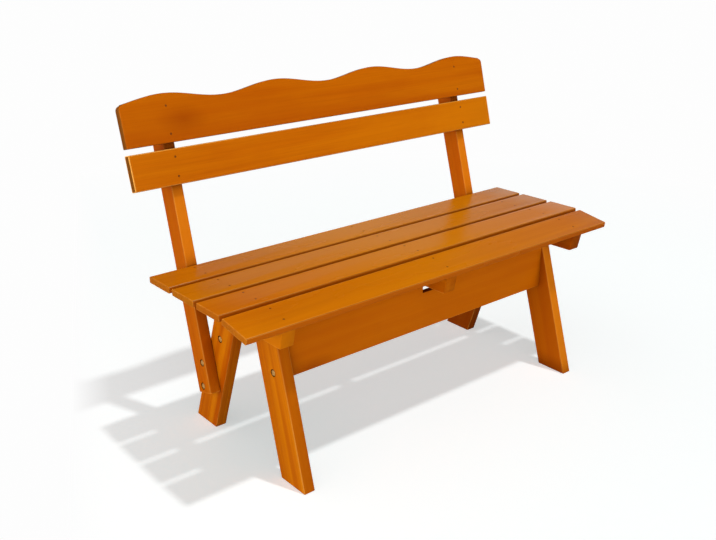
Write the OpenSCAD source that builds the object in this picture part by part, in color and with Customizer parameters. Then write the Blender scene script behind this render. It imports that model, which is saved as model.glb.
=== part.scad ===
// Wooden garden bench with a back: four seat boards on three cleats, two end frames of splayed legs
// and a raked post, two aprons between the legs, and two back boards, the upper one with a wavy top.
// Millimetres. X runs along the bench, the front faces -Y and Z is up. The origin is on the floor,
// in the middle of the outline seen from above.

/* [Seat] */
// Length of the seat boards
seat_l = 1200; // [1040:10:1500]
// Height of the seat top, at the front edge of the second board
seat_h = 436; // [390:1:480]
// Width of a seat board
board_w = 93; // [85:1:105]
// Thickness of a seat board
board_t = 16; // [12:0.5:22]
// Gap between the three rear seat boards
board_gap = 13; // [6:0.5:18]
// Gap between the front board and the second one, at their undersides
front_gap = 10; // [5:0.5:16]
// Backward slope of the three rear boards, in degrees
seat_lean = 1.3; // [0:0.1:3]
// Forward slope of the front board, in degrees
front_drop = 9; // [2:0.5:12]
// Radius of the boards' long edges
board_r = 3; // [1:0.5:5]

/* [Cleats] */
// Thickness of a cleat under the boards
cleat_t = 36; // [24:1:45]
// Depth of a cleat from the boards to its lower edge
cleat_w = 62; // [50:1:75]
// Distance from the front board's front edge back to the cleats
cleat_setback = 6; // [0:0.5:15]
// Slope of a cleat's front end, in degrees from upright
nose_cut = 12; // [0:1:25]

/* [Legs] */
// Thickness of a leg, along the bench
leg_t = 30; // [24:1:38]
// Width of a leg across its grain
leg_w = 87; // [70:1:95]
// Distance from the seat's ends in to the outer faces of the legs, on the floor
leg_inset = 124.5; // [90:0.5:190]
// Distance from the front edge of the front feet to the rear edge of the rear feet
stance = 469; // [430:1:520]
// Distance from the middle of the seat back to the middle of the feet
foot_shift = 8; // [0:1:16]
// Distance from the middle of the seat back to the middle of the legs' tops
top_shift = 2; // [0:1:8]
// Gap between the tops of a front leg and a rear leg
leg_top_gap = 19; // [8:1:40]
// Inward lean of the two end frames towards the top, in degrees
end_lean = 0.9; // [0:0.1:1.5]
// Radius of the long edges of legs and posts
stick_r = 2.5; // [1:0.5:4]

/* [Aprons] */
// Thickness of an apron
apron_t = 16; // [14:0.5:22]
// Height of the aprons' lower edge above the floor
apron_h = 239; // [220:1:260]
// Distance from a leg's middle line out to the apron's middle
apron_out = 6; // [0:0.5:10]
// Room in an apron's notch under the middle cleat
notch_room = 20; // [2:1:30]

/* [Back] */
// Rake of the posts from upright, in degrees
back_rake = 16; // [10:0.5:20]
// Thickness of a post, along the bench
post_t = 30; // [24:1:38]
// Width of a post, front to rear
post_w = 56; // [50:1:70]
// Distance that a post runs down past its crossing with the rear leg
post_tail = 23; // [21:1:40]
// Distance from the upper back board's crests down to the top of a post
post_under = 14; // [2:1:40]
// Distance from the seat's ends in to the back boards' ends
back_inset = 3; // [-10:1:40]
// Thickness of the back boards
back_t = 20; // [14:0.5:26]
// Distance up the posts from the rear seat board's underside to the lower back board
back_rise = 212; // [150:1:260]
// Width of the lower back board
back_w = 86; // [70:1:110]
// Gap between the two back boards
back_gap = 14; // [6:1:40]
// Mean height of the upper back board
crest_w = 106; // [90:1:130]
// Height of the wave above and below that mean
wave_a = 10; // [2:1:14]
// Length of one wave
wave_l = 322; // [240:2:420]
// Radius of the upper back board's top corners
corner_r = 12; // [4:1:20]

/* [Fasteners] */
// Shank diameter of a nail
nail_d = 2.8; // [2:0.1:4]
// Head diameter of a nail
nail_head = 5.2; // [4.5:0.1:8]
// Length of a seat nail
seat_nail_l = 50; // [40:1:60]
// Length of a back nail
back_nail_l = 55; // [45:1:65]
// Distance of the seat nails from a board's front edge
nail_front = 27; // [15:1:35]
// Distance of the seat nails from a board's rear edge
nail_rear = 16; // [12:1:30]
// Distance of the back nails from a back board's long edges
nail_edge = 20; // [12:1:30]
// Diameter of the coach screws and of the bolts
bolt_d = 8; // [6:0.5:8]
// Length of the coach screws under the head
coach_l = 80; // [60:1:100]
// Width across the flats of all hexagon heads and nuts
hex_af = 13; // [11:0.5:13]
// Diameter of the round recesses for heads and nuts
recess_d = 18; // [18:0.5:20]
// Depth of those recesses
recess_deep = 8; // [6:0.5:10]
// Height of the coach screws above the aprons' lower edge
coach_up = 21; // [14:1:40]
// Height of the lower post bolt below the crossing of post and leg
bolt_low = 7; // [0:1:8]
// Distance of the post bolts behind that crossing
bolt_back = 2.5; // [0:0.5:4]
// Distance between the two bolts of a post
bolt_pitch = 64; // [50:1:70]
// Shank diameter of the wood screws from the legs into the outer cleats
screw_d = 5; // [4:0.5:6]

/* [Hidden] */

$fn = 32;

WOOD = "#C4701C";
STEEL = "#B9B39C";
NAIL = "#5A3A22";

// Clearances: between wooden faces, behind the seat, around the middle cleat and round a shank
wood_fit = 0.2;
seat_post_gap = 0.5;
notch_fit = 0.5;
shank_fit = 0.1;
// A cut reaches this far past the face that it opens
past = 1;
// A blank is this much longer than the space that trims it
blank = 900;

// Fastener details
head_t = 1.2;
head_sunk = 0.3;
washer_t = 1.6;
washer_rim = 1;
hex_t = 5.3;
nut_t = 6.4;
thread_short = 1;
screw_bite = 25;
screw_spread = 13;
screw_head = 10;
screw_head_t = 3;

// Points and directions in the plane across the bench are [y, z], with y = 0 at the front top edge
// of the second seat board
function along(a) = [cos(a), -sin(a)];
function up_from(a) = [sin(a), cos(a)];
seat_dir = along(seat_lean);
seat_up = up_from(seat_lean);
drop_dir = along(-front_drop);
post_up = up_from(back_rake);
post_out = [-cos(back_rake), sin(back_rake)];

// The cleats' top edge bends at this point, under the second board's front edge
bend = [0, seat_h] - board_t * seat_up;
seat_run = 3 * board_w + 2 * board_gap;
front_edge = bend - (front_gap + board_w) * drop_dir;
rear_edge = bend + seat_run * seat_dir;
seat_mid = (front_edge[0] + rear_edge[0]) / 2;

// The posts' front faces pass just behind the rear board; heights on the back count from this point
post_foot = rear_edge - seat_post_gap * post_out;

// Feet, and the slope that takes a leg from its foot to its place under the seat
front_foot = seat_mid + foot_shift - stance / 2;
rear_foot = seat_mid + foot_shift + stance / 2;
leg_top = bend[1];
legs_mid = seat_mid + top_shift;
function slope_for(reach) = acos(leg_w / norm([reach, leg_top])) - atan2(leg_top, reach);
front_slope = slope_for(legs_mid - leg_top_gap / 2 - front_foot);
rear_slope = slope_for(rear_foot - legs_mid - leg_top_gap / 2);

// Outer faces of the legs on the floor, and the length of the back boards
leg_x = seat_l / 2 - leg_inset;
back_l = seat_l - 2 * back_inset;

// A leg's middle line at height z
function front_mid(z) = front_foot + leg_w / cos(front_slope) / 2 + z * tan(front_slope);
function rear_mid(z) = rear_foot - leg_w / cos(rear_slope) / 2 - z * tan(rear_slope);

// The aprons stand on the line of their coach screws
coach_h = apron_h + coach_up;
front_apron_y = front_mid(coach_h) - apron_out;
rear_apron_y = rear_mid(coach_h) + apron_out;

// Crossing of a post's middle line with the rear leg's middle line, as a distance up the post
post_mid = post_foot - post_w / 2 * post_out;
cross_s = (rear_mid(post_mid[1]) - post_mid[0]) / (post_up[0] + post_up[1] * tan(rear_slope));
crossing = post_mid + cross_s * post_up;
post_low = cross_s - post_tail;
bolt_y = crossing[0] + bolt_back;
bolt_zs = [crossing[1] - bolt_low, crossing[1] - bolt_low + bolt_pitch];

// Back boards, as distances up the posts
upper_s = back_rise + back_w + back_gap;
crest_s = upper_s + crest_w + wave_a;
post_top = crest_s - post_under;

// The outline seen from above runs from the front feet to the posts' tops
rear_most = post_foot[0] + post_top * post_up[0] + post_w * cos(back_rake);
mid_y = (front_foot + rear_most) / 2;

// Lower edge of the cleats at y, and the cleats' place beside the legs
function cleat_bottom(y) = bend[1] - cleat_w / cos(seat_lean) - (y - bend[0]) * tan(seat_lean);
outer_cleat_x = leg_x - cleat_bottom(rear_edge[0]) * tan(end_lean) + wood_fit + cleat_t / 2;
cleat_xs = [-outer_cleat_x, 0, outer_cleat_x];

// Moves the bench from the seat's own zero to the middle of its outline
module placed() translate([0, -mid_y, 0]) children();

// Runs a [y, z] outline along the bench
module along_x(l) rotate([90, 0, 90]) linear_extrude(l, center = true) children();

// Cross-section of a planed piece with rounded long edges, its corner at the origin
module planed(w, t, r) {
    translate([r, 0]) square([w - 2 * r, t]);
    translate([0, r]) square([w, t - 2 * r]);
    for (x = [r, w - r], y = [r, t - r])
        translate([x, y]) circle(r);
}

// The leaning plane of an end frame, with x = 0 on the legs' outer faces; side is -1 or 1
module end_frame(side)
    translate([side * leg_x, 0, 0])
        mirror([side < 0 ? 1 : 0, 0, 0])
            rotate([0, -end_lean, 0]) children();

// Space between the floor and the boards' undersides, where legs, cleats and aprons are trimmed
module under_seat()
    along_x(2 * seat_l) translate([0, -wood_fit]) polygon([
        bend - blank * drop_dir, bend, bend + blank * seat_dir,
        [bend[0] + blank, wood_fit], [bend[0] - blank, wood_fit]
    ]);

// Frames of the rear seat boards, the front seat board and the back
module on_seat() translate([0, 0, seat_h]) rotate([-seat_lean, 0, 0]) children();
module on_front() translate([0, bend[0], bend[1]]) rotate([front_drop, 0, 0]) children();
module on_back() translate([0, post_foot[0], post_foot[1]]) rotate([-back_rake, 0, 0]) children();

// A nail with its point down and its head's top at z = 0
module nail(l) {
    translate([0, 0, -head_t]) cylinder(h = head_t, d = nail_head);
    translate([0, 0, -l + nail_d]) cylinder(h = l - nail_d, d = nail_d);
    translate([0, 0, -l]) cylinder(h = nail_d, d1 = nail_d / 4, d2 = nail_d);
}

// The hole that a nail fills, open at the board's face
module nail_hole(l) {
    translate([0, 0, -head_t - shank_fit])
        cylinder(h = head_t + head_sunk + past, d = nail_head + 2 * shank_fit);
    translate([0, 0, -l - shank_fit]) cylinder(h = l, d = nail_d + 2 * shank_fit);
}

// Puts its children at the nails of every seat board, over the cleat at x
module at_seat_nails(x) {
    for (y = [-front_gap - board_w + nail_front, -front_gap - nail_rear])
        on_front() translate([x, y, board_t - head_sunk]) children();
    for (k = [0:2], y = [nail_front, board_w - nail_rear])
        on_seat() translate([x, k * (board_w + board_gap) + y, -head_sunk]) children();
}

// Puts its children at the nails of the back boards, over the middle of both posts
module at_back_nails()
    for (side = [-1, 1], s = [back_rise + nail_edge, back_rise + back_w - nail_edge,
                              upper_s + nail_edge, crest_s - nail_edge - wave_a]) {
        z = post_foot[1] + s * post_up[1];
        x = leg_x - z * tan(end_lean) + wood_fit + post_t / 2;
        on_back() translate([side * x, -back_t - wood_fit + head_sunk, s]) rotate([90, 0, 0]) children();
    }

// Puts its children at [x, y, z] of an end frame, with their z axis along the bench and outwards
module outwards(side, x, y, z) end_frame(side) translate([x, y, z]) rotate([0, 90, 0]) children();

// A round hole from a recess at z = 0 down to z = -deep
module recessed_hole(d, deep) {
    translate([0, 0, -recess_deep]) cylinder(h = recess_deep + past, d = recess_d);
    translate([0, 0, -deep]) cylinder(h = deep, d = d + 2 * shank_fit);
}

module hexagon(h) cylinder(h = h, d = hex_af / cos(30), $fn = 6);

// A washer lies in its recess with a rim of air, and its hole clears the shank
module washer()
    difference() {
        cylinder(h = washer_t, d = recess_d - 2 * washer_rim);
        translate([0, 0, -past]) cylinder(h = washer_t + 2 * past, d = bolt_d + 2 * shank_fit);
    }

module at_coach_screws(side) {
    outwards(side, 0, front_apron_y, coach_h) children();
    outwards(side, 0, rear_apron_y, coach_h) children();
}

post_face = wood_fit + post_t;
bolt_grip = post_face + leg_t - 2 * recess_deep;
bolt_l = bolt_grip + 2 * washer_t + nut_t - thread_short;

module at_post_bolts(side)
    for (z = bolt_zs) outwards(side, post_face, bolt_y, z) children();

module at_cleat_screws(side)
    for (dz = [-screw_spread, screw_spread]) {
        zf = (cleat_bottom(front_mid(leg_top)) + leg_top) / 2 + dz;
        zr = (cleat_bottom(rear_mid(leg_top)) + leg_top) / 2 + dz;
        outwards(side, -leg_t, front_mid(zf), zf) children();
        outwards(side, -leg_t, rear_mid(zr), zr) children();
    }

// A countersunk wood screw that runs outwards from z = 0, and the hole that it fills
module wood_screw() {
    cylinder(h = screw_head_t, d1 = screw_head, d2 = screw_d);
    cylinder(h = leg_t + screw_bite, d = screw_d);
}

module screw_hole() {
    translate([0, 0, -past]) cylinder(h = past, d = screw_head + 2 * shank_fit);
    cylinder(h = screw_head_t, d1 = screw_head + 2 * shank_fit, d2 = screw_d + 2 * shank_fit);
    cylinder(h = leg_t + screw_bite + shank_fit, d = screw_d + 2 * shank_fit);
}

module seat_board_blank() along_x(seat_l) planed(board_w, board_t, board_r);

module rear_seat_board(k)
    color(WOOD) placed() difference() {
        on_seat() translate([0, k * (board_w + board_gap), -board_t]) seat_board_blank();
        for (x = cleat_xs) at_seat_nails(x) nail_hole(seat_nail_l);
    }

module seat_board_front()
    color(WOOD) placed() difference() {
        on_front() translate([0, -front_gap - board_w, 0]) seat_board_blank();
        for (x = cleat_xs) at_seat_nails(x) nail_hole(seat_nail_l);
    }

module seat_board_second() rear_seat_board(0);
module seat_board_third() rear_seat_board(1);
module seat_board_rear() rear_seat_board(2);

// Outline of a cleat: its top follows the boards, its front end slopes and its rear end meets the posts
nose_top = bend - (front_gap + board_w - cleat_setback) * drop_dir;
nose_len = ((nose_top - bend) * seat_up + cleat_w) / cos(nose_cut + seat_lean);
nose_low = nose_top + nose_len * [sin(nose_cut), -cos(nose_cut)];
function cleat_rear(deep) =
    let (start = bend - deep * seat_up)
    start + ((start - post_foot) * post_out - seat_post_gap) / cos(back_rake - seat_lean) * seat_dir;

module cleat(x, side = 0)
    color(WOOD) placed() difference() {
        intersection() {
            translate([x, 0, 0]) along_x(cleat_t)
                polygon([nose_top, bend, cleat_rear(0), cleat_rear(cleat_w), nose_low]);
            under_seat();
        }
        at_seat_nails(x) nail_hole(seat_nail_l);
        if (side != 0) at_cleat_screws(side) screw_hole();
    }

module cleat_left() cleat(cleat_xs[0], -1);
module cleat_middle() cleat(cleat_xs[1]);
module cleat_right() cleat(cleat_xs[2], 1);

module leg_blank(y) translate([-leg_t, y, -blank / 2]) linear_extrude(2 * blank) planed(leg_t, leg_w, stick_r);

module front_leg(side)
    color(WOOD) placed() difference() {
        intersection() {
            end_frame(side) translate([0, front_foot, 0]) rotate([-front_slope, 0, 0]) leg_blank(0);
            under_seat();
        }
        at_coach_screws(side) recessed_hole(bolt_d, leg_t + past);
        at_cleat_screws(side) screw_hole();
    }

module rear_leg(side)
    color(WOOD) placed() difference() {
        intersection() {
            end_frame(side) translate([0, rear_foot, 0]) rotate([rear_slope, 0, 0]) leg_blank(-leg_w);
            under_seat();
        }
        at_coach_screws(side) recessed_hole(bolt_d, leg_t + past);
        at_cleat_screws(side) screw_hole();
        at_post_bolts(side) translate([0, 0, -post_face - leg_t - past]) {
            cylinder(h = leg_t + 2 * past, d = bolt_d + 2 * shank_fit);
            cylinder(h = recess_deep + past, d = recess_d);
        }
    }

module leg_front_left() front_leg(-1);
module leg_front_right() front_leg(1);
module leg_rear_left() rear_leg(-1);
module leg_rear_right() rear_leg(1);

// Half the length of an apron at height z, between the leaning inner faces of the legs
function apron_half(z) = leg_x - leg_t / cos(end_lean) - z * tan(end_lean) - wood_fit;

module apron(y) {
    notch = cleat_t / 2 + notch_fit;
    floor_z = cleat_bottom(y) - notch_room;
    low = apron_half(apron_h);
    high = apron_half(seat_h);
    color(WOOD) placed() difference() {
        intersection() {
            translate([0, y + apron_t / 2, 0]) rotate([90, 0, 0]) linear_extrude(apron_t) polygon([
                [-low, apron_h], [low, apron_h], [high, seat_h], [notch, seat_h],
                [notch, floor_z], [-notch, floor_z], [-notch, seat_h], [-high, seat_h]
            ]);
            under_seat();
        }
        for (side = [-1, 1])
            at_coach_screws(side) translate([0, 0, -recess_deep - coach_l - shank_fit])
                cylinder(h = coach_l, d = bolt_d + 2 * shank_fit);
    }
}

module apron_front() apron(front_apron_y);
module apron_rear() apron(rear_apron_y);

module post(side)
    color(WOOD) placed() difference() {
        end_frame(side) translate([wood_fit, 0, 0]) on_back() translate([0, 0, post_low])
            linear_extrude(post_top - post_low) planed(post_t, post_w, stick_r);
        at_post_bolts(side) recessed_hole(bolt_d, post_face + past);
        at_back_nails() nail_hole(back_nail_l);
    }

module post_left() post(-1);
module post_right() post(1);

module back_board_lower()
    color(WOOD) placed() difference() {
        on_back() translate([0, -wood_fit, back_rise]) rotate([90, 0, 90])
            linear_extrude(back_l, center = true) translate([-back_t, 0]) planed(back_t, back_w, board_r);
        at_back_nails() nail_hole(back_nail_l);
    }

// Height of the upper board's top edge at x, with its two top corners rounded
function wave(x) = crest_w - wave_a * cos(360 * x / wave_l);
corner_x = back_l / 2 - corner_r;
wave_step = 5;
corner_step = 15;
wave_steps = ceil(corner_x / wave_step);
top_half = concat(
    [for (k = [0:wave_steps]) let (x = corner_x * k / wave_steps) [x, wave(x)]],
    [for (a = [90 - corner_step:-corner_step:0])
        [corner_x + corner_r * cos(a), wave(corner_x) - corner_r * (1 - sin(a))]]
);
crest_outline = concat(
    [[-back_l / 2, 0], [back_l / 2, 0]],
    [for (k = [len(top_half) - 1:-1:0]) top_half[k]],
    [for (k = [1:len(top_half) - 1]) [-top_half[k][0], top_half[k][1]]]
);

module back_board_upper()
    color(WOOD) placed() difference() {
        on_back() translate([0, -wood_fit, upper_s])
            rotate([90, 0, 0]) linear_extrude(back_t) polygon(crest_outline);
        at_back_nails() nail_hole(back_nail_l);
    }

module seat_nails() color(NAIL) placed() for (x = cleat_xs) at_seat_nails(x) nail(seat_nail_l);

module back_nails() color(NAIL) placed() at_back_nails() nail(back_nail_l);

module coach_screws()
    color(STEEL) placed() for (side = [-1, 1]) at_coach_screws(side) translate([0, 0, washer_t - recess_deep]) {
        hexagon(hex_t);
        translate([0, 0, bolt_d - coach_l]) cylinder(h = coach_l - bolt_d, d = bolt_d);
        translate([0, 0, -coach_l]) cylinder(h = bolt_d, d1 = bolt_d / 4, d2 = bolt_d);
    }

module post_bolts()
    color(STEEL) placed() for (side = [-1, 1]) at_post_bolts(side) translate([0, 0, washer_t - recess_deep]) {
        hexagon(hex_t);
        translate([0, 0, -bolt_l]) cylinder(h = bolt_l, d = bolt_d);
    }

module post_nuts()
    color(STEEL) placed() for (side = [-1, 1])
        at_post_bolts(side) translate([0, 0, -recess_deep - bolt_grip - washer_t - nut_t]) difference() {
            hexagon(nut_t);
            translate([0, 0, -past]) cylinder(h = nut_t + 2 * past, d = bolt_d + 2 * shank_fit);
        }

module washers()
    color(STEEL) placed() for (side = [-1, 1]) {
        at_coach_screws(side) translate([0, 0, -recess_deep]) washer();
        at_post_bolts(side) translate([0, 0, -recess_deep]) washer();
        at_post_bolts(side) translate([0, 0, -recess_deep - bolt_grip - washer_t]) washer();
    }

module cleat_screws() color(STEEL) placed() for (side = [-1, 1]) at_cleat_screws(side) wood_screw();

seat_board_front();
seat_board_second();
seat_board_third();
seat_board_rear();
cleat_left();
cleat_middle();
cleat_right();
leg_front_left();
leg_front_right();
leg_rear_left();
leg_rear_right();
apron_front();
apron_rear();
post_left();
post_right();
back_board_lower();
back_board_upper();
seat_nails();
back_nails();
coach_screws();
post_bolts();
post_nuts();
washers();
cleat_screws();
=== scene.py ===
# %% [markdown]
# # A stained softwood garden bench
# This lesson dresses a bench whose exact solids come from CAD. The solids are loaded first and stay
# where they are. Every wooden piece is then made again with mesh operators, as a joiner would make
# it: plane a stick, round its long edges, saw it to its angles, bore it, and stain it. The nails,
# screws, bolts, nuts and washers get the same care, because a recess with a real head in it tells
# the eye how large the bench is.

import math
import random

import bmesh
import bpy
from mathutils import Matrix, Vector


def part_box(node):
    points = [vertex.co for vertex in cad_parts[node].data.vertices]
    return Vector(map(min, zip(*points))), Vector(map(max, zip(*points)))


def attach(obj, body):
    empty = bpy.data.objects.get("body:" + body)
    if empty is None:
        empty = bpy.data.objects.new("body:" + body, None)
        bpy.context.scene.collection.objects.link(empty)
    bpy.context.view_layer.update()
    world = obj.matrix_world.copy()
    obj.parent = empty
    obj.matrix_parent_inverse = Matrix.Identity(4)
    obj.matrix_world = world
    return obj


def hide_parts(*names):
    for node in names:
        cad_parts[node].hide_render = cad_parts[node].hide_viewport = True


# Short names: shift makes a matrix that moves things, and swing one that turns them
shift, swing = Matrix.Translation, Matrix.Rotation
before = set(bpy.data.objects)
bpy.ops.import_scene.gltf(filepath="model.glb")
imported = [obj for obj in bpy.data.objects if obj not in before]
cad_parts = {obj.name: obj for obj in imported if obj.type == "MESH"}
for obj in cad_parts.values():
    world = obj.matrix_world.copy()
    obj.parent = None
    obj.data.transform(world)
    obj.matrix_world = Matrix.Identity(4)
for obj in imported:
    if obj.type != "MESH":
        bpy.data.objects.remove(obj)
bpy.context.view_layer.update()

# %% [markdown]
# ## The camera
# The camera stands where it stood for the photograph, a little above the seat and to the left of
# the bench. Its place and turn were fitted to the bench's own corners, so it is written out here
# as a position, three angles and a focal length in pixels of a picture 716 pixels wide.

# %% Camera
IMAGE_W = 716
SENSOR_W = 36.0
FOCAL_PX = 911.17
CAMERA_AT = Vector((-1.49678, -1.69697, 1.22683))
YAW, PITCH, ROLL = (math.radians(a) for a in (-39.999, -21.466, 0.458))

ahead = Vector((math.sin(-YAW) * math.cos(PITCH), math.cos(YAW) * math.cos(PITCH), math.sin(PITCH)))
level_right = ahead.cross(Vector((0, 0, 1))).normalized()
level_up = level_right.cross(ahead)
right = level_right * math.cos(ROLL) + level_up * math.sin(ROLL)
up = level_up * math.cos(ROLL) - level_right * math.sin(ROLL)


def new_object(name, data):
    made = bpy.data.objects.new(name, data)
    bpy.context.scene.collection.objects.link(made)
    return made


camera = new_object("camera", bpy.data.cameras.new("camera"))
camera.matrix_world = shift(CAMERA_AT) @ Matrix((right, up, -ahead)).transposed().to_4x4()
camera.data.sensor_width = SENSOR_W
camera.data.lens = FOCAL_PX * SENSOR_W / IMAGE_W
bpy.context.scene.camera = camera
bpy.context.scene.view_settings.view_transform = "Standard"
print("lens", round(camera.data.lens, 2), "mm")

# %% [markdown]
# ## Measures
# The same few sizes that shape the solids place the new pieces, in metres. A point in the plane
# across the bench is written (y, z), with y = 0 at the front top edge of the second seat board.
# Three leaning planes carry everything: the seat's, the front board's and the back's.

# %% Measures of the bench
SEAT_L, SEAT_H = 1.200, 0.436
BOARD_W, BOARD_T, BOARD_GAP, FRONT_GAP = 0.093, 0.016, 0.013, 0.010
BOARD_R, STICK_R = 0.003, 0.0025
SEAT_LEAN, FRONT_DROP, BACK_RAKE, END_LEAN = (math.radians(a) for a in (1.3, 9.0, 16.0, 0.9))
LEG_T, LEG_W, LEG_X = 0.030, 0.087, 0.4755
POST_T, POST_W, POST_GAP = 0.030, 0.056, 0.0005
APRON_T, APRON_H = 0.016, 0.239
WOOD_FIT = 0.0002
MIDDLE_Y = 0.173858


def slope_dir(angle):
    """The direction that falls to the rear at this angle, in the plane across the bench."""
    return Vector((0, math.cos(angle), -math.sin(angle)))


def slope_up(angle):
    return Vector((0, math.sin(angle), math.cos(angle)))


seat_dir, seat_up = slope_dir(SEAT_LEAN), slope_up(SEAT_LEAN)
drop_dir, drop_up = slope_dir(-FRONT_DROP), slope_up(-FRONT_DROP)
post_up = slope_up(BACK_RAKE)
post_out = -slope_dir(BACK_RAKE)
bend = Vector((0, 0, SEAT_H)) - BOARD_T * seat_up
rear_edge = bend + (3 * BOARD_W + 2 * BOARD_GAP) * seat_dir
post_foot = rear_edge - POST_GAP * post_out

in_part = shift((0, -MIDDLE_Y, 0))
on_seat = in_part @ shift((0, 0, SEAT_H)) @ swing(-SEAT_LEAN, 4, "X")
on_front = in_part @ shift(bend) @ swing(FRONT_DROP, 4, "X")
on_back = in_part @ shift(post_foot) @ swing(-BACK_RAKE, 4, "X")


def end_frame(side):
    """The leaning plane of an end frame: x = 0 on the legs' outer faces, +x always to the right."""
    return in_part @ shift((side * LEG_X, 0, 0)) @ swing(-side * END_LEAN, 4, "Y")


print("seat bends at", [round(v, 4) for v in bend])

# %% [markdown]
# ## Timber
# A stick of timber has three directions of its own: along the grain, across its width, and through
# its thickness. Each piece is planed in that plain position and then carried to its place by one
# matrix. The matrix is kept, because the stain's grain pattern is turned with it later.

# %% A planed stick, a saw cut and a place
END_EASE, SAW_EASE = 0.002, 0.0012
SAME_SPOT = 1e-6


def axes(origin, along, across):
    """Matrix from a stick's own directions to the directions of the frame that it is laid in."""
    along, across = Vector(along).normalized(), Vector(across).normalized()
    turn = Matrix((along, across, along.cross(across))).transposed().to_4x4()
    return shift(origin) @ turn


def carry(bm, place):
    bmesh.ops.transform(bm, matrix=place, verts=bm.verts)


def block(length, width, thick, place):
    """A plain block of this size, with its middle at its place."""
    bm = bmesh.new()
    bmesh.ops.create_cube(bm, size=1, matrix=place @ Matrix.Diagonal((length, width, thick, 1)))
    return bm


def round_edges(bm, edges, radius, segments, **more):
    bmesh.ops.bevel(bm, geom=edges, offset=radius, offset_type="OFFSET", affect="EDGES",
                    segments=segments, profile=0.5, material=-1, **more)


def planed_stick(place, length, width, thick, radius, ends=False):
    """A stick with its grain along x, from y = 0 and z = 0, with rounded edges, laid in its place."""
    bm = block(length, width, thick, shift((0, width / 2, thick / 2)))
    long_edges = [e for e in bm.edges if abs(e.verts[0].co.x - e.verts[1].co.x) > length / 2]
    round_edges(bm, long_edges, radius, 5)
    if ends:
        rim = [e for e in bm.edges if all(abs(abs(v.co.x) - length / 2) < SAME_SPOT for v in e.verts)]
        round_edges(bm, rim, END_EASE, 4, clamp_overlap=True)
    carry(bm, place)
    return bm


def divide(bm, point, normal, **more):
    """Adds points and edges where a plane passes through the wood, and returns them."""
    return bmesh.ops.bisect_plane(bm, geom=bm.verts[:] + bm.edges[:] + bm.faces[:], dist=SAME_SPOT,
                                  plane_co=point, plane_no=normal, **more)["geom_cut"]


def saw(bm, point, normal, ease=SAW_EASE):
    """Saws off what lies beyond the plane, closes the cut and eases its edges."""
    cut = divide(bm, point, normal, clear_outer=True)
    rim = [e for e in cut if isinstance(e, bmesh.types.BMEdge)]
    bmesh.ops.edgeloop_fill(bm, edges=rim)
    bmesh.ops.recalc_face_normals(bm, faces=bm.faces)
    if ease:
        round_edges(bm, [e for e in rim if e.is_valid], ease, 2, clamp_overlap=True)


# %% [markdown]
# ## From mesh to piece
# A finished bmesh becomes an object at the origin, unturned, with its place in its mesh. It rides
# on the bench's one body and stands in for a CAD node. Faces shade smooth where they meet at a
# small angle and stay crisp at the saw cuts.

# %% Turning a bmesh into a piece
SMOOTH_BELOW = math.radians(32)
LONG = 2.0  # stands for a length or width that the stain takes no edges from
placed = {}


def mesh_of(bm, name):
    mesh = bpy.data.meshes.new(name)
    bm.to_mesh(mesh)
    bm.free()
    return mesh


def make_piece(bm, name, cad_node, place=None):
    bmesh.ops.recalc_face_normals(bm, faces=bm.faces)
    for face in bm.faces:
        face.smooth = True
    for edge in bm.edges:
        edge.smooth = len(edge.link_faces) < 2 or edge.calc_face_angle(0) < SMOOTH_BELOW
    piece = new_object(name, mesh_of(bm, name))
    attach(piece, "root")
    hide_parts(cad_node)
    placed[name] = place
    low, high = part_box(cad_node)
    print(name, len(piece.data.polygons), "faces, stands in for", cad_node,
          [round(h - l, 3) for l, h in zip(low, high)])


def wooden(bm, cad_node, how, *place):
    make_piece(bm, f"{cad_node}_{how}", cad_node, place)


def cut_with(bm, cutter, operation="DIFFERENCE"):
    """Cuts the shape of one bmesh out of another with the Boolean modifier, and returns the result."""
    made = []
    for part, name in ((bm, "worked"), (cutter, "cutter")):
        bmesh.ops.recalc_face_normals(part, faces=part.faces)
        made.append(new_object(name, mesh_of(part, name)))
    boolean = made[0].modifiers.new("cut", "BOOLEAN")
    boolean.operation = operation
    boolean.solver = "EXACT"
    boolean.object = made[1]
    bpy.context.view_layer.update()
    result = bmesh.new()
    result.from_object(made[0], bpy.context.evaluated_depsgraph_get())
    for helper in made:
        mesh = helper.data
        bpy.data.objects.remove(helper)
        bpy.data.meshes.remove(mesh)
    return result


# %% [markdown]
# ## Turned shapes
# Nails, screws, washers and the cutters that bore their holes are all round. Each is a profile of
# radius and height, spun a full turn about its own axis. The spin merges its last ring with its
# first, and the points on the axis are merged into one.

# %% A turned shape
TURN_STEPS = 28


def turned(profile, steps=TURN_STEPS, ring=False):
    """Spins a profile of (radius, height) round the z axis. A ring's profile is a closed loop."""
    bm = bmesh.new()
    points = [bm.verts.new((r, 0, z)) for r, z in profile]
    for a, b in zip(points, points[1:] + (points[:1] if ring else [])):
        bm.edges.new((a, b))
    bmesh.ops.spin(bm, geom=bm.verts[:] + bm.edges[:], axis=(0, 0, 1), cent=(0, 0, 0),
                   angle=2 * math.pi, steps=steps, use_merge=True)
    bmesh.ops.remove_doubles(bm, verts=bm.verts, dist=SAME_SPOT / 10)
    bmesh.ops.recalc_face_normals(bm, faces=bm.faces)
    return bm


def copies(template, matrices):
    """One bmesh with a copy of the template at each matrix."""
    pattern = mesh_of(template, "pattern")
    bm = bmesh.new()
    for matrix in matrices:
        before = set(bm.verts)
        bm.from_mesh(pattern)
        bmesh.ops.transform(bm, matrix=matrix, verts=[v for v in bm.verts if v not in before])
    bpy.data.meshes.remove(pattern)
    return bm


# %% [markdown]
# ## Where the fasteners go
# Two nails hold each seat board to each of the three cleats, four nails hold the back boards to
# each post. Coach screws run through the legs into the ends of the aprons, and two bolts clamp
# each post to its rear leg. Every list below holds matrices. Their z axis points out of the wood,
# and for the wood screws from the head to the tip.

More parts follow.
